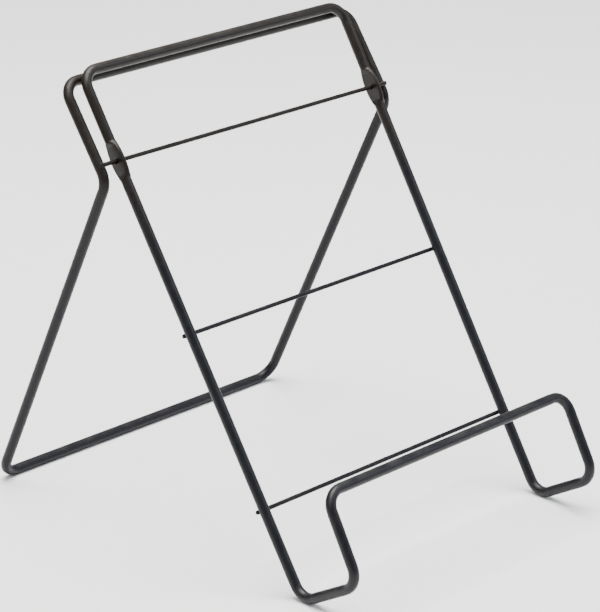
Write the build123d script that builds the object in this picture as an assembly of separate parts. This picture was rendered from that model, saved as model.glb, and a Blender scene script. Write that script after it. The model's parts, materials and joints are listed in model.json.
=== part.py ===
from build123d import *
from math import acos, atan2, cos, degrees, hypot, radians, sin
import os

# Folding wire stand for a photo album. Millimetres and degrees.
#
# Every piece is drawn in the rail frame: X to the right, Y backwards and square to the rails, Z up along
# the rails, with the pivot rod's axis through the origin. The whole stand is then leaned back and put on
# the floor, so that its own frame has +Z up and its origin on the floor, under the middle of the stand.

# wire
FRAME_WIRE = 5.6          # diameter of the wire of both bent frames
ROD_WIRE = 2.3            # diameter of the wire of the pivot rod and the crossbars
WELD_SINK = 0.1           # how far a thin wire is pressed into a thick one by the weld

# front frame
TOP_WIDTH = 186.0         # between the rails' centre-lines, at the top bar
FOOT_WIDTH = 179.4        # the same at the feet, where the loop is slightly narrower
TOP_ABOVE_PIVOT = 48.0
FOOT_BELOW_PIVOT = 238.0
LEDGE_LENGTH = 44.4
LEDGE_DROOP = 2.5         # ledge, past square to the rails
LIP_LENGTH = 47.3
LIP_FLARE = 3.4           # lip, away from parallel to the rails
TOP_BEND = 9.0            # bend radii are those of the wire's centre-line
FOOT_BEND = 9.5
LEDGE_BEND = 10.0
LIP_BEND = 9.5

# eye: the stretch of each rail that is pressed flat and drilled for the pivot rod
EYE_LENGTH = 20.8
EYE_WIDTH = 10.8
EYE_THICKNESS = 2.4
EYE_FLAT_LENGTH = 15.4    # of full depth; the flats run out each way
EYE_FLAT_RISE = 0.62      # of the flats' run-out, for each millimetre along the rail
EYE_CLEARANCE = 0.08      # radial, round the pivot rod

# rear frame
REAR_WIDTH = 204.0
REAR_TOP_DROP = 2.1       # rear top bar, below the front one
STOP_GAP = 0.3            # between the rear top bar and the rails that stop it, with the stand open
BEND_BELOW_PIVOT = 8.3
LEG_ANGLE = 58.3          # between the legs and the rails
LEG_LENGTH = 209.0
REAR_TOP_BEND = 9.0
LEG_BEND = 10.5
REAR_FOOT_BEND = 10.5

# crossbars
MIDDLE_CROSSBAR_BELOW_PIVOT = 93.7
LOWER_CROSSBAR_BELOW_PIVOT = 188.8
CROSSBAR_TIP = 2.0        # past the rail's centre-line
PIVOT_ROD_TIP = 0.8       # past the centre-line of the rear frame's arm

# welds
WELD_RADIUS = 1.7

frame_radius = FRAME_WIRE / 2
rod_radius = ROD_WIRE / 2
welded_spacing = frame_radius + rod_radius - WELD_SINK


def rail_half_width(up):
    """Half the distance between the rails' centre-lines at a height above the pivot."""
    share = (TOP_ABOVE_PIVOT - up) / (TOP_ABOVE_PIVOT + FOOT_BELOW_PIVOT)
    return (TOP_WIDTH + share * (FOOT_WIDTH - TOP_WIDTH)) / 2


# corners of the right half of the front loop
top_corner = Vector(TOP_WIDTH / 2, 0, TOP_ABOVE_PIVOT)
foot_corner = Vector(FOOT_WIDTH / 2, 0, -FOOT_BELOW_PIVOT)
ledge_tilt = radians(LEDGE_DROOP)
lip_tilt = radians(LIP_FLARE)
ledge_corner = foot_corner + Vector(0, -cos(ledge_tilt), -sin(ledge_tilt)) * LEDGE_LENGTH
lip_corner = ledge_corner + Vector(0, -sin(lip_tilt), cos(lip_tilt)) * LIP_LENGTH
rail_direction = (top_corner - foot_corner).normalized()
eye_centre = Vector(rail_half_width(0), 0, 0)

# corners of the right half of the rear loop; its arms lie behind the pivot rod and touch it
rear_top_corner = Vector(REAR_WIDTH / 2, FRAME_WIRE + STOP_GAP, TOP_ABOVE_PIVOT - REAR_TOP_DROP)
arm_at_pivot = Vector(REAR_WIDTH / 2, welded_spacing, 0)
arm_direction = (arm_at_pivot - rear_top_corner).normalized()
leg_corner = arm_at_pivot + arm_direction * BEND_BELOW_PIVOT
leg_direction = Vector(0, sin(radians(LEG_ANGLE)), -cos(radians(LEG_ANGLE)))
rear_foot_corner = leg_corner + leg_direction * LEG_LENGTH


def bend_centre(before, corner, after, radius):
    """Centre of the arc that rounds a corner of a path."""
    one, other = (before - corner).normalized(), (after - corner).normalized()
    half_angle = radians(one.get_angle(other)) / 2
    return corner + (one + other).normalized() * (radius / sin(half_angle))


foot_centre = bend_centre(top_corner, foot_corner, ledge_corner, FOOT_BEND)
ledge_centre = bend_centre(foot_corner, ledge_corner, lip_corner, LEDGE_BEND)

# The rails lean back so far that the rounded feet and the rear bar stand on the same floor.
stance = rear_foot_corner - foot_centre
lean = atan2(stance.Y, -stance.Z) - acos(FOOT_BEND / hypot(stance.Y, stance.Z))


def leaned(point):
    """A point of the rail frame after the stand leans back about the pivot rod."""
    return Vector(
        point.X,
        point.Y * cos(lean) + point.Z * sin(lean),
        point.Z * cos(lean) - point.Y * sin(lean),
    )


pivot_height = frame_radius - leaned(rear_foot_corner).Z
frontmost = leaned(ledge_centre).Y - LEDGE_BEND - frame_radius
rearmost = leaned(rear_foot_corner).Y + frame_radius
pivot_back = -(frontmost + rearmost) / 2
standing = Pos(0, pivot_back, pivot_height) * Rot(-degrees(lean), 0, 0)


def bent_wire(corners, radii):
    """Thick wire along a path of straight runs, with an arc at each inner corner."""
    path = FilletPolyline(*corners, radius=radii)
    section = Plane(origin=path @ 0, z_dir=path % 0) * Circle(frame_radius)
    return sweep(section, path=path)


def both_sides(half):
    """A right half and its mirror image, as one solid."""
    return half + mirror(half, about=Plane.YZ)


def middle_of(corner):
    """The point level with a corner on the stand's plane of symmetry."""
    return Vector(0, corner.Y, corner.Z)


def along_rail(up):
    """A point of the right rail's centre-line."""
    return eye_centre + rail_direction * up


def eye():
    """The flattened stretch of the right rail, with the hole for the pivot rod."""
    # half sizes of the oval section at a share of the eye's half length from its middle
    sizes = {0: (0.86, EYE_WIDTH / FRAME_WIRE), 0.4: (0.88, 1.83), 0.75: (0.94, 1.5), 1: (1, 1)}
    shares = [-share for share in sorted(sizes, reverse=True)[:-1]] + sorted(sizes)
    sections = []
    for share in shares:
        across, deep = sizes[abs(share)]
        plane = Plane(along_rail(share * EYE_LENGTH / 2), x_dir=(1, 0, 0), z_dir=rail_direction)
        sections.append(plane * Ellipse(across * frame_radius, deep * frame_radius))
    pressed = loft(sections)
    side = Plane(eye_centre, x_dir=(1, 0, 0), z_dir=(0, -1, 0))
    face, flat, end = EYE_THICKNESS / 2, EYE_FLAT_LENGTH / 2, EYE_LENGTH / 2
    rim = face + (end - flat) * EYE_FLAT_RISE
    outline = [(face, -flat), (rim, -end), (FRAME_WIRE, -end), (FRAME_WIRE, end), (rim, end), (face, flat)]
    for out in (1, -1):
        die = Polygon(*[(out * across, along) for across, along in outline], align=None)
        pressed -= extrude(side * die, amount=EYE_WIDTH, both=True)
    hole = Pos(eye_centre) * Rot(0, 90, 0) * Cylinder(rod_radius + EYE_CLEARANCE, FRAME_WIRE)
    return pressed - hole


def front_frame():
    """Closed loop of thick wire: top bar, rails with eyes, feet, ledges, lips and front bar."""
    upper = bent_wire([middle_of(top_corner), top_corner, along_rail(EYE_LENGTH / 2)], [TOP_BEND])
    lower = bent_wire(
        [along_rail(-EYE_LENGTH / 2), foot_corner, ledge_corner, lip_corner, middle_of(lip_corner)],
        [FOOT_BEND, LEDGE_BEND, LIP_BEND],
    )
    return both_sides(upper + eye() + lower)


def rear_frame():
    """Closed loop of thick wire: top bar, arms, legs and the bar that stands on the floor."""
    half = bent_wire(
        [
            middle_of(rear_top_corner),
            rear_top_corner,
            leg_corner,
            rear_foot_corner,
            middle_of(rear_foot_corner),
        ],
        [REAR_TOP_BEND, LEG_BEND, REAR_FOOT_BEND],
    )
    return both_sides(half)


def rod(half_length, back, up):
    """Thin wire from side to side."""
    return Pos(0, back, up) * Rot(0, 90, 0) * Cylinder(rod_radius, 2 * half_length)


def crossbar(below_pivot):
    """Thin wire across the backs of the rails, with its tips just past them."""
    return rod(rail_half_width(-below_pivot) + CROSSBAR_TIP, welded_spacing, -below_pivot)


def weld(half_width, back, up, frame, thin_wire):
    """Weld metal in the crevice between a thin wire and the right side of a frame."""
    bead = Pos(half_width, back, up) * Rot(0, 90, 0) * Sphere(WELD_RADIUS)
    return bead - frame - thin_wire


def stand():
    """Every piece in the rail frame, by the name of its node."""
    front, rear, pivot_wire = front_frame(), rear_frame(), rod(REAR_WIDTH / 2 + PIVOT_ROD_TIP, 0, 0)
    pieces = {"front_frame": front, "rear_frame": rear, "pivot_rod": pivot_wire - rear}
    arm_face = welded_spacing - frame_radius
    welds = {"pivot_weld": weld(REAR_WIDTH / 2, arm_face, 0, rear, pivot_wire)}
    crossbars = {"middle": MIDDLE_CROSSBAR_BELOW_PIVOT, "lower": LOWER_CROSSBAR_BELOW_PIVOT}
    for place, below in crossbars.items():
        wire = crossbar(below)
        pieces[f"{place}_crossbar"] = wire - front
        welds[f"{place}_crossbar_weld"] = weld(
            rail_half_width(-below), frame_radius, -below, front, wire
        )
    for name, bead in welds.items():
        pieces[f"{name}_right"] = bead
        pieces[f"{name}_left"] = mirror(bead, about=Plane.YZ)
    return pieces


os.makedirs("parts", exist_ok=True)
for node, piece in stand().items():
    export_step(standing * piece, f"parts/{node}.step")

print("lean of the rails", round(degrees(lean), 2))
print("pivot axis", round(pivot_back, 3), round(pivot_height, 3))
print("eye hole radius", rod_radius + EYE_CLEARANCE)
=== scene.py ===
import json
import math

import bmesh
import bpy
import numpy as np
from mathutils import Matrix, Vector, noise


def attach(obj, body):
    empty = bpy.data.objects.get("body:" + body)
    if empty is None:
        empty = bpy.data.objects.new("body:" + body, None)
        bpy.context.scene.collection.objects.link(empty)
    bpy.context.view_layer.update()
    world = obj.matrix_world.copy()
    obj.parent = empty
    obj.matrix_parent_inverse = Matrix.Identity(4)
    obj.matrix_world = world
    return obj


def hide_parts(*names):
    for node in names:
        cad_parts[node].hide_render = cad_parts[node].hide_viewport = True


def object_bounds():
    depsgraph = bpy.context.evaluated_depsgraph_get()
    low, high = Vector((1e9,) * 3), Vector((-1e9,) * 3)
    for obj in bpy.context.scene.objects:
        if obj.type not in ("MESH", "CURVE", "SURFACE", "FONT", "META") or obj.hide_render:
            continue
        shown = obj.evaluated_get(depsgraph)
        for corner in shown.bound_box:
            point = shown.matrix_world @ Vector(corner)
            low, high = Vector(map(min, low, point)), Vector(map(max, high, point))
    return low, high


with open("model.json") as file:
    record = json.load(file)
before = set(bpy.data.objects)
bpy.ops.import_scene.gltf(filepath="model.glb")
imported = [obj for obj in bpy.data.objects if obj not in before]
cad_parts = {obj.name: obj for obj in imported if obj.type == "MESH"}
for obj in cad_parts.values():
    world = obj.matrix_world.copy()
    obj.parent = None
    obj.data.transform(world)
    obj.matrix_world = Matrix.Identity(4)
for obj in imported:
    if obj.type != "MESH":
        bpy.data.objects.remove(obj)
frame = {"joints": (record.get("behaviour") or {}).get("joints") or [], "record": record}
cad_low, cad_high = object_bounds()

# The looks of a folding wire stand for a photo album: satin black paint on bent steel wire. Metres.
#
# The wires are drawn again here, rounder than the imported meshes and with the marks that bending, pressing
# and welding leave. As in the CAD model, places are given as (x, back, up): x to the right, back square to
# the rails, and up along the rails, from the middle of the pivot rod.

MM = 0.001

FRAME_RADIUS = 2.8 * MM      # of both bent frames' wire
ROD_RADIUS = 1.15 * MM       # of the pivot rod and the crossbars
WELDED_SPACING = 3.85 * MM   # from a thick wire's centre-line to that of a thin wire welded on it

# front frame, between corners of the wire's centre-line
TOP_HALF_WIDTH = 93.0 * MM
FOOT_HALF_WIDTH = 89.7 * MM
TOP_UP = 48.0 * MM
FOOT_UP = -238.0 * MM
LEDGE_LENGTH = 44.4 * MM
LEDGE_DROOP = math.radians(2.5)
LIP_LENGTH = 47.3 * MM
LIP_FLARE = math.radians(3.4)
TOP_BEND = 9.0 * MM
FOOT_BEND = 9.5 * MM
LEDGE_BEND = 10.0 * MM
LIP_BEND = 9.5 * MM

# eye, by its distance from the pivot along the rail
EYE_HALF_LENGTH = 10.4 * MM
EYE_HALF_ACROSS = 2.41 * MM  # of the oval, before its two faces are pressed flat
EYE_HALF_DEEP = 5.4 * MM
EYE_SWELL_POWER = 0.8        # how bluntly the oval swells towards the eye's middle
EYE_FACE = 1.2 * MM          # from the rail's middle to either flat
EYE_FLAT_HALF_LENGTH = 7.7 * MM
EYE_FLAT_RISE = 0.62         # of the flats' run-out, for each millimetre along the rail
EYE_HOLE_RADIUS = 1.23 * MM
EYE_COUNTERSINK = 0.22 * MM

# rear frame
REAR_HALF_WIDTH = 102.0 * MM
REAR_TOP_UP = 45.9 * MM
STOP_SPACING = 5.9 * MM      # from the rails' centre-lines back to that of the rear top bar
LEG_CORNER_DROP = 8.3 * MM
LEG_ANGLE = math.radians(58.3)
LEG_LENGTH = 209.0 * MM
REAR_TOP_BEND = 9.0 * MM
LEG_BEND = 10.5 * MM
REAR_FOOT_BEND = 10.5 * MM

# thin wires
CROSSBAR_TIP = 2.0 * MM      # past the rail's centre-line
CROSSBAR_UPS = {"middle": -93.7 * MM, "lower": -188.8 * MM}
PIVOT_ROD_TIP = 0.8 * MM     # past the centre-line of the rear frame's arm
ROD_END_ROUND = 0.35 * MM

# welds: how far the melted metal follows each wire from their crossing, and its bead
WELD_ALONG_FRAME = 3.4 * MM
WELD_ALONG_ROD = 2.9 * MM
WELD_SINK = 0.11 * MM        # of the melted metal's far ends, under the wires' surfaces
WELD_BEAD_RADIUS = 1.53 * MM
WELD_BEAD_LIFT = 0.1 * MM    # of the bead's middle, off the thick wire's surface
WELD_GRAIN = 0.13 * MM
WELD_SMOOTHING = 14

# painted surface
PAINT_RELIEF = 0.025 * MM    # how far it wanders in and out
ROD_RELIEF = 0.4 * PAINT_RELIEF
BEND_FLATTENING = 0.03       # of the wire's section, towards a bend's centre
CREASE = math.radians(28)    # edges sharper than this stay sharp

# meshes
FRAME_SIDES = 44
FRAME_STEP = 1.4 * MM
ROD_SIDES = 24
ROD_STEP = 1.2 * MM
HOLE_SIDES = 40
WELD_SIDES = 28

SIDES = {"left": -1, "right": 1}
ACROSS = (1, 0, 0)
DOWN = (0, 0, -1)
FLOOR_POINT = (0, 0, 0)

pivot = Vector(frame["joints"][0]["pos_m"])
mounts = {mount["name"]: mount for mount in frame["record"]["mounts"]}
rail_up = Vector(mounts["album_rest"]["axis"]).normalized()
rail_back = rail_up.cross(Vector(ACROSS))
rail_back *= -1 if rail_back.y < 0 else 1


def place(x, back, up):
    """A point given from the middle of the pivot rod, in the frame's own axes."""
    return pivot + Vector((x, 0, 0)) + rail_back * back + rail_up * up


def rail_half_width(up):
    """Half the distance between the rails' centre-lines."""
    return TOP_HALF_WIDTH + (FOOT_HALF_WIDTH - TOP_HALF_WIDTH) * (TOP_UP - up) / (TOP_UP - FOOT_UP)


# ---------------------------------------------------------------- wire paths

def corner_arc(before, corner, after, radius, step):
    """Points of the arc that rounds a corner, with the direction to the arc's centre at each."""
    one, other = (before - corner).normalized(), (after - corner).normalized()
    half = one.angle(other) / 2
    centre = corner + (one + other).normalized() * (radius / math.sin(half))
    start = corner + one * (radius / math.tan(half)) - centre
    end = corner + other * (radius / math.tan(half)) - centre
    turn = math.pi - 2 * half
    axis = start.cross(end).normalized()
    count = max(6, round(radius * turn / step))
    points = []
    for i in range(count + 1):
        arm = Matrix.Rotation(turn * i / count, 3, axis) @ start
        points.append((centre + arm, -arm.normalized()))
    return points


def bent_path(corners, radii, step):
    """Stations along a path of straight runs and arcs: (point, direction to the bend's centre or None)."""
    stations = [(corners[0], None)]
    bends = [
        corner_arc(corners[i - 1], corners[i], corners[i + 1], radii[i - 1], step)
        for i in range(1, len(corners) - 1)
    ]
    for bend in [*bends, [(corners[-1], None)]]:
        start, end = stations[-1][0], bend[0][0]
        count = max(1, round((end - start).length / step))
        for i in range(1, count):
            stations.append((start.lerp(end, i / count), None))
        stations += bend
    return stations


def refined(stations, middle, reach):
    """The same stations, with three more between each two that lie within reach of a point."""
    finer = []
    for here, there in zip(stations, stations[1:]):
        finer.append(here)
        if here[1] is None and there[1] is None and (here[0] - middle).length < reach:
            finer += [(here[0].lerp(there[0], share), None) for share in (0.25, 0.5, 0.75)]
    return [*finer, stations[-1]]


def tangents(points):
    """Unit direction of travel at each point of a path."""
    last = len(points) - 1
    return [(points[min(i + 1, last)] - points[max(i - 1, 0)]).normalized() for i in range(len(points))]


# ---------------------------------------------------------------- meshes

def full_turn(sides):
    """Angles of the corners of a regular ring."""
    return [2 * math.pi * k / sides for k in range(sides)]


def skin(mesh, rings, capped=True):
    """Adds faces between rings of vertices and, if capped, over both ends."""
    for here, there in zip(rings, rings[1:]):
        for k in range(len(here)):
            after = (k + 1) % len(here)
            mesh.faces.new((here[k], here[after], there[after], there[k]))
    if capped:
        mesh.faces.new(rings[0])
        mesh.faces.new(rings[-1])


def relief(point):
    """Height of the painted surface at a point, from -1 to 1: slow sags and a finer ripple."""
    slow, fine = 120, 330
    return 0.6 * noise.noise(point * slow) + 0.4 * noise.noise(point * fine)


def finished(name, mesh, amount=PAINT_RELIEF):
    """An object of a bmesh, with the paint's relief and smooth shading up to its creases."""
    mesh.normal_update()
    moves = [(vertex, vertex.normal * relief(vertex.co) * amount) for vertex in mesh.verts]
    for vertex, move in moves:
        vertex.co += move
    for edge in mesh.edges:
        edge.smooth = len(edge.link_faces) == 2 and edge.calc_face_angle(0) < CREASE
    for face in mesh.faces:
        face.smooth = True
    data = bpy.data.meshes.new(name)
    mesh.to_mesh(data)
    mesh.free()
    piece = bpy.data.objects.new(name, data)
    bpy.context.scene.collection.objects.link(piece)
    return piece


def apply_modifiers(piece):
    """Makes a piece's modifiers part of its mesh."""
    graph = bpy.context.evaluated_depsgraph_get()
    graph.update()
    data = bpy.data.meshes.new_from_object(piece.evaluated_get(graph))
    piece.modifiers.clear()
    piece.data = data


# ---------------------------------------------------------------- thick wire

def ring_offsets(inward, first, second):
    """Offsets of a wire's section from its centre-line. Bending flattens it a little, towards the bend."""
    offsets = []
    for angle in full_turn(FRAME_SIDES):
        direction = first * math.cos(angle) + second * math.sin(angle)
        squeeze = BEND_FLATTENING * direction.dot(inward) ** 2 if inward else 0
        offsets.append(direction * (FRAME_RADIUS - PAINT_RELIEF) * (1 - squeeze))
    return offsets


def eye_offsets(along, first, second):
    """Offsets of the flattened section, an oval pressed flat on its two faces."""
    distance = abs(along)
    swell = (1 - (distance / EYE_HALF_LENGTH) ** 2) ** EYE_SWELL_POWER
    across = FRAME_RADIUS + (EYE_HALF_ACROSS - FRAME_RADIUS) * swell - PAINT_RELIEF
    deep = FRAME_RADIUS + (EYE_HALF_DEEP - FRAME_RADIUS) * swell - PAINT_RELIEF
    face = EYE_FACE + max(0, distance - EYE_FLAT_HALF_LENGTH) * EYE_FLAT_RISE
    offsets = []
    for angle in full_turn(FRAME_SIDES):
        out = max(-face, min(face, across * math.sin(angle)))
        offsets.append(first * deep * math.cos(angle) + second * out)
    return offsets


def loop(name, stations, eye=False):
    """Closed loop of thick wire, as one mesh: its right half along the stations, and the mirror image."""
    mesh = bmesh.new()
    points = [point for point, _ in stations]
    first, rings, previous = rail_back, [], None
    for (point, inward), tangent in zip(stations, tangents(points)):
        if previous is not None:
            first = previous.rotation_difference(tangent) @ first
        first = (first - tangent * first.dot(tangent)).normalized()
        second = tangent.cross(first)
        along = (point - pivot).dot(rail_up)
        if eye and abs(along) < EYE_HALF_LENGTH:
            offsets = eye_offsets(along, first, second)
        else:
            offsets = ring_offsets(inward, first, second)
        rings.append([mesh.verts.new(point + offset) for offset in offsets])
        previous = tangent
    for ring in (rings[0], rings[-1]):
        for vertex in ring:
            vertex.co.x = 0
    skin(mesh, rings, capped=False)
    bmesh.ops.mirror(mesh, geom=mesh.verts[:] + mesh.edges[:] + mesh.faces[:], axis="X", merge_dist=1e-6)
    bmesh.ops.recalc_face_normals(mesh, faces=mesh.faces)
    return finished(name, mesh)


def drill_eyes(piece):
    """Cuts the pivot rod's hole through both eyes, with a small countersink at each face."""
    mesh = bmesh.new()
    profile = [
        (2 * EYE_FACE, EYE_HOLE_RADIUS + EYE_COUNTERSINK + EYE_FACE),
        (EYE_FACE, EYE_HOLE_RADIUS + EYE_COUNTERSINK),
        (EYE_FACE - EYE_COUNTERSINK, EYE_HOLE_RADIUS),
    ]
    profile += [(-x, radius) for x, radius in reversed(profile)]
    for side in (1, -1):
        middle = side * rail_half_width(0)
        rings = []
        for x, radius in profile:
            rings.append([
                mesh.verts.new(place(middle + x, radius * math.cos(angle), radius * math.sin(angle)))
                for angle in full_turn(HOLE_SIDES)
            ])
        skin(mesh, rings)
    bmesh.ops.recalc_face_normals(mesh, faces=mesh.faces)
    drill = finished("drill", mesh, amount=0)
    cut = piece.modifiers.new("pivot_holes", "BOOLEAN")
    cut.operation, cut.solver, cut.object = "DIFFERENCE", "EXACT", drill
    apply_modifiers(piece)
    bpy.data.objects.remove(drill)


def front_frame():
    """Closed loop: top bar, rails with their eyes, feet, ledges, lips and front bar."""
    ledge_back = -LEDGE_LENGTH * math.cos(LEDGE_DROOP)
    ledge_up = FOOT_UP - LEDGE_LENGTH * math.sin(LEDGE_DROOP)
    lip_back = ledge_back - LIP_LENGTH * math.sin(LIP_FLARE)
    lip_up = ledge_up + LIP_LENGTH * math.cos(LIP_FLARE)
    corners = [
        place(0, 0, TOP_UP),
        place(TOP_HALF_WIDTH, 0, TOP_UP),
        place(FOOT_HALF_WIDTH, 0, FOOT_UP),
        place(FOOT_HALF_WIDTH, ledge_back, ledge_up),
        place(FOOT_HALF_WIDTH, lip_back, lip_up),
        place(0, lip_back, lip_up),
    ]
    stations = bent_path(corners, [TOP_BEND, FOOT_BEND, LEDGE_BEND, LIP_BEND], FRAME_STEP)
    stations = refined(stations, place(rail_half_width(0), 0, 0), EYE_HALF_LENGTH + 2 * MM)
    piece = loop("front_wire", stations, eye=True)
    drill_eyes(piece)
    return piece


def rear_frame():
    """Closed loop: top bar, arms, legs and the bar that stands on the floor."""
    arm = Vector((0, WELDED_SPACING - STOP_SPACING, -REAR_TOP_UP)).normalized()
    leg_back = WELDED_SPACING + arm.y * LEG_CORNER_DROP
    leg_up = arm.z * LEG_CORNER_DROP
    foot_back = leg_back + LEG_LENGTH * math.sin(LEG_ANGLE)
    foot_up = leg_up - LEG_LENGTH * math.cos(LEG_ANGLE)
    corners = [
        place(0, STOP_SPACING, REAR_TOP_UP),
        place(REAR_HALF_WIDTH, STOP_SPACING, REAR_TOP_UP),
        place(REAR_HALF_WIDTH, leg_back, leg_up),
        place(REAR_HALF_WIDTH, foot_back, foot_up),
        place(0, foot_back, foot_up),
    ]
    return loop("rear_wire", bent_path(corners, [REAR_TOP_BEND, LEG_BEND, REAR_FOOT_BEND], FRAME_STEP))


# ---------------------------------------------------------------- thin wire and welds

def thin_wire(name, half_length, back, up):
    """Thin wire from side to side, its sheared ends rounded over by paint."""
    straight = half_length - ROD_END_ROUND
    middles = list(np.linspace(-straight, straight, round(2 * half_length / ROD_STEP)))
    radius = ROD_RADIUS - ROD_RELIEF
    profile = [(x, radius) for x in middles]
    for angle in np.radians([25, 50, 75, 90]):
        x, r = ROD_END_ROUND * math.sin(angle), radius - ROD_END_ROUND * (1 - math.cos(angle))
        profile.append((middles[-1] + x, r))
        profile.insert(0, (middles[0] - x, r))
    mesh = bmesh.new()
    rings = []
    for x, r in profile:
        rings.append([
            mesh.verts.new(place(x, back + r * math.cos(angle), up + r * math.sin(angle)))
            for angle in full_turn(ROD_SIDES)
        ])
    skin(mesh, rings)
    bmesh.ops.recalc_face_normals(mesh, faces=mesh.faces)
    return finished(name, mesh, amount=ROD_RELIEF)


def capsule(mesh, start, end, radius):
    """Adds a round bar with domed ends to a bmesh."""
    axis = (end - start).normalized()
    first = axis.orthogonal().normalized()
    second = axis.cross(first)
    dome = np.radians([80, 60, 40, 20, 0])
    rings = []
    for base, sign in ((start, -1), (end, 1)):
        for angle in dome if sign < 0 else dome[::-1]:
            centre = base + axis * (sign * radius * math.sin(angle))
            r = radius * math.cos(angle)
            rings.append([
                mesh.verts.new(centre + (first * math.cos(t) + second * math.sin(t)) * r)
                for t in full_turn(WELD_SIDES)
            ])
    skin(mesh, rings)


def lumpy_bead(mesh, crossing, toward_rod):
    """Adds the squeezed-out metal between two crossed wires to a bmesh."""
    bead = bmesh.ops.create_uvsphere(mesh, u_segments=32, v_segments=20, radius=WELD_BEAD_RADIUS)
    for vertex in bead["verts"]:
        lump = 1 + 0.12 * noise.noise((vertex.co + crossing) * 1400)
        vertex.co = vertex.co * lump + crossing + toward_rod * (FRAME_RADIUS + WELD_BEAD_LIFT)


def weld(name, crossing, toward_rod, side, tip):
    """Weld where a thin wire crosses a thick one: both melted together, with a fillet all round."""
    along_frame = rail_up * WELD_ALONG_FRAME
    rod_centre = crossing + toward_rod * WELDED_SPACING
    inner_end = rod_centre - Vector((side * WELD_ALONG_ROD, 0, 0))
    outer_end = rod_centre + Vector((side * (tip - ROD_RADIUS), 0, 0))
    mesh = bmesh.new()
    capsule(mesh, crossing - along_frame, crossing + along_frame, FRAME_RADIUS - WELD_SINK)
    capsule(mesh, inner_end, outer_end, ROD_RADIUS - WELD_SINK)
    lumpy_bead(mesh, crossing, toward_rod)
    bmesh.ops.recalc_face_normals(mesh, faces=mesh.faces)
    piece = finished(name, mesh, amount=0)
    melt = piece.modifiers.new("melt", "REMESH")
    melt.mode, melt.voxel_size, melt.use_smooth_shade = "VOXEL", WELD_GRAIN, True
    settle = piece.modifiers.new("settle", "SMOOTH")
    settle.factor, settle.iterations = 0.5, WELD_SMOOTHING
    apply_modifiers(piece)
    for face in piece.data.polygons:
        face.use_smooth = True
    return piece


# ---------------------------------------------------------------- materials

class Nodes:
    """Short calls for building a material's node tree."""

    def __init__(self, name):
        self.material = bpy.data.materials.new(name)
        self.material.use_nodes = True
        self.tree = self.material.node_tree
        self.shader = self.tree.nodes["Principled BSDF"]
        coordinates = self.add("ShaderNodeTexCoord")
        self.place, self.normal = coordinates.outputs["Object"], coordinates.outputs["Normal"]

    def add(self, kind, **settings):
        """A new node, with its settings."""
        node = self.tree.nodes.new(kind)
        for key, value in settings.items():
            setattr(node, key, value)
        return node

    def link(self, source, target):
        """Feeds one socket into another."""
        self.tree.links.new(source, target)

    def noise(self, scale, detail=2.0, roughness=0.5):
        """Noise from 0 to 1, with features about 1/scale metres across."""
        node = self.add("ShaderNodeTexNoise")
        node.inputs["Scale"].default_value = scale
        node.inputs["Detail"].default_value = detail
        node.inputs["Roughness"].default_value = roughness
        self.link(self.place, node.inputs["Vector"])
        return node.outputs["Fac"]

    def span(self, value, low, high, to_low=0.0, to_high=1.0):
        """value, from low..high to to_low..to_high, held at the ends."""
        node = self.add("ShaderNodeMapRange", interpolation_type="SMOOTHSTEP")
        for key, number in (("From Min", low), ("From Max", high), ("To Min", to_low), ("To Max", to_high)):
            node.inputs[key].default_value = number
        self.link(value, node.inputs["Value"])
        return node.outputs["Result"]

    def math(self, operation, first, second):
        """Two values, each a number or a socket, under an operation such as ADD."""
        node = self.add("ShaderNodeMath", operation=operation)
        for socket, value in zip(node.inputs, (first, second)):
            if isinstance(value, (int, float)):
                socket.default_value = value
            else:
                self.link(value, socket)
        return node.outputs["Value"]

    def blend(self, share, low, high):
        """Colour low where share is 0, and high where it is 1."""
        node = self.add("ShaderNodeMix", data_type="RGBA")
        self.link(share, node.inputs["Factor"])
        for socket, value in ((node.inputs["A"], low), (node.inputs["B"], high)):
            if isinstance(value, tuple):
                socket.default_value = (*value, 1)
            else:
                self.link(value, socket)
        return node.outputs["Result"]

    def from_point(self, point):
        """The way from a point to here."""
        node = self.add("ShaderNodeVectorMath", operation="SUBTRACT")
        self.link(self.place, node.inputs[0])
        node.inputs[1].default_value = point
        return node.outputs["Vector"]

    def near_line(self, point, direction, near, far):
        """1 within near of a line, falling to 0 at far."""
        cross = self.add("ShaderNodeVectorMath", operation="CROSS_PRODUCT")
        self.link(self.from_point(point), cross.inputs[0])
        cross.inputs[1].default_value = direction
        length = self.add("ShaderNodeVectorMath", operation="LENGTH")
        self.link(cross.outputs["Vector"], length.inputs[0])
        return self.span(length.outputs["Value"], near, far, 1.0, 0.0)

    def near_point(self, point, near, far):
        """1 within near of a point, falling to 0 at far."""
        node = self.add("ShaderNodeVectorMath", operation="DISTANCE")
        self.link(self.place, node.inputs[0])
        node.inputs[1].default_value = point
        return self.span(node.outputs["Value"], near, far, 1.0, 0.0)

    def above(self, point, normal, low, high):
        """0 up to low past a plane, rising to 1 at high."""
        dot = self.add("ShaderNodeVectorMath", operation="DOT_PRODUCT")
        self.link(self.from_point(point), dot.inputs[0])
        dot.inputs[1].default_value = normal
        return self.span(dot.outputs["Value"], low, high)

    def bump(self, height, distance, strength, below=None):
        """A normal bent by a height, over the normal below it."""
        node = self.add("ShaderNodeBump")
        node.inputs["Distance"].default_value = distance
        node.inputs["Strength"].default_value = strength
        self.link(height, node.inputs["Height"])
        if below is not None:
            self.link(below, node.inputs["Normal"])
        return node.outputs["Normal"]


# The first two blacks are one paint in two tints, painted light: warm for the light falling on the upper
# parts, cool for the light reflected onto the lower ones.
BLACK_PAINTED_WARM_LIGHT = (0.0068, 0.0044, 0.0030)
BLACK_PAINTED_COOL_LIGHT = (0.0027, 0.0028, 0.0054)
BLACK_FADED = (0.0085, 0.0080, 0.0076)
DUST = (0.105, 0.098, 0.088)
STEEL = (0.20, 0.19, 0.18)


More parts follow.
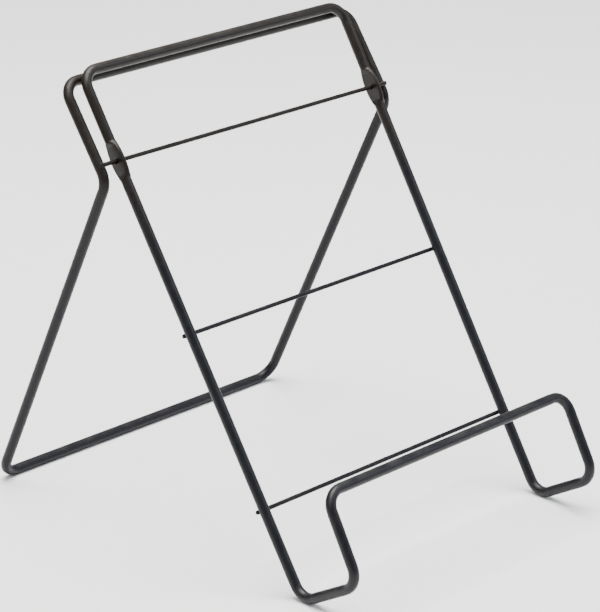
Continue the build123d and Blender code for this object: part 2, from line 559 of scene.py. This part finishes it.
def black(nodes):
    """Black with painted light: a cool tint low down that turns warm towards the top of the stand, for the
    light falling on it, and faded in patches.
    """
    height = nodes.above(FLOOR_POINT, (0, 0, 1), 120 * MM, 225 * MM)
    patches = nodes.noise(14, detail=3.0, roughness=0.6)
    # Painted light: the tint goes from cool low down to warm higher up, following how the light falls on the
    # stand, and varies in patches.
    painted_light_blend = nodes.span(nodes.math("ADD", height, nodes.math("MULTIPLY", patches, 0.5)), 0.15, 1.3)
    colour = nodes.blend(painted_light_blend, BLACK_PAINTED_COOL_LIGHT, BLACK_PAINTED_WARM_LIGHT)
    faded = nodes.span(nodes.noise(60, detail=4.0, roughness=0.6), 0.5, 0.85, 0.0, 0.6)
    return nodes.blend(faded, colour, BLACK_FADED)


def dust_cover(nodes):
    """How dusty the surface is: a haze and specks, on faces that look up."""
    normal = nodes.add("ShaderNodeSeparateXYZ")
    nodes.link(nodes.normal, normal.inputs[0])
    upward = nodes.span(normal.outputs["Z"], 0.2, 1.0)
    specks = nodes.span(nodes.noise(2600, detail=3.0, roughness=0.7), 0.56, 0.74)
    haze = nodes.span(nodes.noise(90, detail=3.0, roughness=0.6), 0.35, 0.75, 0.05, 0.35)
    return nodes.math("MULTIPLY", upward, nodes.math("MAXIMUM", nodes.math("MULTIPLY", specks, 0.35), haze))


def satin_black(name, rub=None, peel=1100, gloss=0.36, shine=0.26):
    """Satin black paint with orange peel, sags, dust in the upward faces, steel showing where it rubs, and
    painted light: a warm tint high up and a cool one low down.
    """
    nodes = Nodes(name)
    dust = dust_cover(nodes)
    colour = nodes.blend(nodes.math("MULTIPLY", dust, 0.45), black(nodes), DUST)
    streaks = nodes.noise(420, detail=4.0, roughness=0.65)
    roughness = nodes.span(streaks, 0.3, 0.72, gloss - 0.06, gloss + 0.10)
    roughness = nodes.math("ADD", roughness, nodes.math("MULTIPLY", dust, 0.25))
    surface = nodes.bump(nodes.noise(230), 0.05 * MM, 0.35)
    surface = nodes.bump(nodes.noise(peel), 0.02 * MM, 0.55, below=surface)

    if rub:
        worn = None
        for mask in rub(nodes):
            worn = mask if worn is None else nodes.math("MAXIMUM", worn, mask)
        chipped = nodes.noise(1500, detail=5.0, roughness=0.7)
        bare = nodes.span(nodes.math("ADD", chipped, nodes.math("MULTIPLY", worn, 0.36)), 0.88, 0.93)
        colour = nodes.blend(bare, colour, STEEL)
        roughness = nodes.math("ADD", roughness, nodes.math("MULTIPLY", worn, -0.10))
        surface = nodes.bump(bare, 0.04 * MM, -0.6, below=surface)
        nodes.link(bare, nodes.shader.inputs["Metallic"])

    nodes.link(colour, nodes.shader.inputs["Base Color"])
    nodes.link(roughness, nodes.shader.inputs["Roughness"])
    nodes.link(surface, nodes.shader.inputs["Normal"])
    nodes.shader.inputs["IOR"].default_value = 1.5
    nodes.shader.inputs["Specular IOR Level"].default_value = shine
    return nodes.material


def rubbed_at_stop(nodes):
    """Where the rear top bar meets the backs of the rails, with the stand open."""
    for side in SIDES.values():
        contact = place(side * rail_half_width(REAR_TOP_UP), STOP_SPACING / 2, REAR_TOP_UP)
        yield nodes.near_point(tuple(contact), 0.5 * MM, 1.8 * MM)


def front_rub(nodes):
    """Where the front frame's paint wears: round the pivot holes, under the feet and at the stop."""
    yield nodes.near_line(tuple(pivot), ACROSS, 1.35 * MM, 2.6 * MM)
    yield nodes.above(FLOOR_POINT, DOWN, -0.9 * MM, -0.1 * MM)
    yield from rubbed_at_stop(nodes)


def rear_rub(nodes):
    """Where the rear frame's paint wears: under its floor bar and in front of its top bar."""
    yield nodes.above(FLOOR_POINT, DOWN, -0.6 * MM, -0.05 * MM)
    yield from rubbed_at_stop(nodes)


def floor_material():
    """Plain pale floor."""
    nodes = Nodes("pale_floor")
    tone = nodes.blend(nodes.noise(6, detail=3.0), (0.86, 0.86, 0.86), (0.90, 0.90, 0.90))
    nodes.link(tone, nodes.shader.inputs["Base Color"])
    nodes.shader.inputs["Roughness"].default_value = 0.8
    return nodes.material


# ---------------------------------------------------------------- the stand

def add(piece, body, material, replaced):
    """Puts a piece on its body in place of a CAD node, with its material."""
    piece.data.materials.clear()
    piece.data.materials.append(material)
    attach(piece, body)
    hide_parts(replaced)


def add_frames():
    """Both bent loops of thick wire."""
    front_paint = satin_black("satin_black_front", front_rub)
    rear_paint = satin_black("satin_black_rear", rear_rub, gloss=0.38, shine=0.20)
    add(front_frame(), "front", front_paint, "front_frame")
    add(rear_frame(), "rear", rear_paint, "rear_frame")


def add_rods():
    """The pivot rod and the crossbars, with the weld at each end."""
    thin_paint = satin_black("satin_black_thin_wire", peel=1500, gloss=0.42, shine=0.14)
    weld_paint = satin_black("satin_black_weld", peel=800, gloss=0.46, shine=0.22)

    rod = thin_wire("pivot_wire", REAR_HALF_WIDTH + PIVOT_ROD_TIP, 0, 0)
    add(rod, "rear", thin_paint, "pivot_rod")
    for side_name, side in SIDES.items():
        arm = place(side * REAR_HALF_WIDTH, WELDED_SPACING, 0)
        fillet = weld(f"pivot_fillet_{side_name}", arm, -rail_back, side, PIVOT_ROD_TIP)
        add(fillet, "rear", weld_paint, f"pivot_weld_{side_name}")

    for level, up in CROSSBAR_UPS.items():
        bar = thin_wire(f"{level}_cross_wire", rail_half_width(up) + CROSSBAR_TIP, WELDED_SPACING, up)
        add(bar, "front", thin_paint, f"{level}_crossbar")
        for side_name, side in SIDES.items():
            rail = place(side * rail_half_width(up), 0, up)
            fillet = weld(f"{level}_fillet_{side_name}", rail, rail_back, side, CROSSBAR_TIP)
            add(fillet, "front", weld_paint, f"{level}_crossbar_weld_{side_name}")


# ---------------------------------------------------------------- stage, lights and camera

CAMERA_AZIMUTH = math.radians(45.34)     # the camera looks this far to the right of +Y
CAMERA_ELEVATION = math.radians(20.97)
CAMERA_ROLL = math.radians(0.27)
CAMERA_DISTANCE = 1.495
CAMERA_LENS = 168.4
AIM_OFFSET = Vector((-3.65, -3.4, -12.2)) * MM   # from the middle of the stand's box


def camera():
    """The camera, aimed near the middle of the stand."""
    aim = (cad_low + cad_high) / 2 + AIM_OFFSET
    flat = math.cos(CAMERA_ELEVATION)
    looking = Vector((
        math.sin(CAMERA_AZIMUTH) * flat, math.cos(CAMERA_AZIMUTH) * flat, -math.sin(CAMERA_ELEVATION)
    ))
    data = bpy.data.cameras.new("camera")
    data.lens, data.sensor_width, data.clip_start = CAMERA_LENS, 36, 0.05
    item = bpy.data.objects.new("camera", data)
    bpy.context.scene.collection.objects.link(item)
    turn = looking.to_track_quat("-Z", "Y") @ Matrix.Rotation(CAMERA_ROLL, 3, "Z").to_quaternion()
    item.matrix_world = Matrix.Translation(aim - looking * CAMERA_DISTANCE) @ turn.to_matrix().to_4x4()
    bpy.context.scene.camera = item


def area_light(name, position, size, power, colour):
    """A soft square light facing the middle of the stand."""
    data = bpy.data.lights.new(name, "AREA")
    data.shape, data.size, data.energy, data.color = "SQUARE", size, power, colour
    item = bpy.data.objects.new(name, data)
    bpy.context.scene.collection.objects.link(item)
    item.location = position
    middle = Vector((0, 0, 0.12))
    item.rotation_euler = (middle - Vector(position)).to_track_quat("-Z", "Y").to_euler()


def studio():
    """Pale floor, pale surroundings and soft lights."""
    mesh = bmesh.new()
    bmesh.ops.create_grid(mesh, x_segments=1, y_segments=1, size=6)
    floor = finished("floor", mesh, amount=0)
    floor.data.materials.append(floor_material())

    world = bpy.data.worlds.new("surroundings")
    world.use_nodes = True
    background = world.node_tree.nodes["Background"]
    background.inputs["Color"].default_value = (0.95, 0.97, 1.0, 1)
    background.inputs["Strength"].default_value = 0.4
    bpy.context.scene.world = world

    area_light("overhead", (0.0, 0.1, 2.0), 1.6, 130, (1.0, 0.99, 0.97))
    area_light("front_left", (-1.6, 0.0, 1.5), 0.8, 12, (1.0, 0.95, 0.88))
    area_light("front_right", (1.2, -1.4, 1.2), 0.9, 14, (0.76, 0.86, 1.0))


add_frames()
add_rods()
studio()
camera()
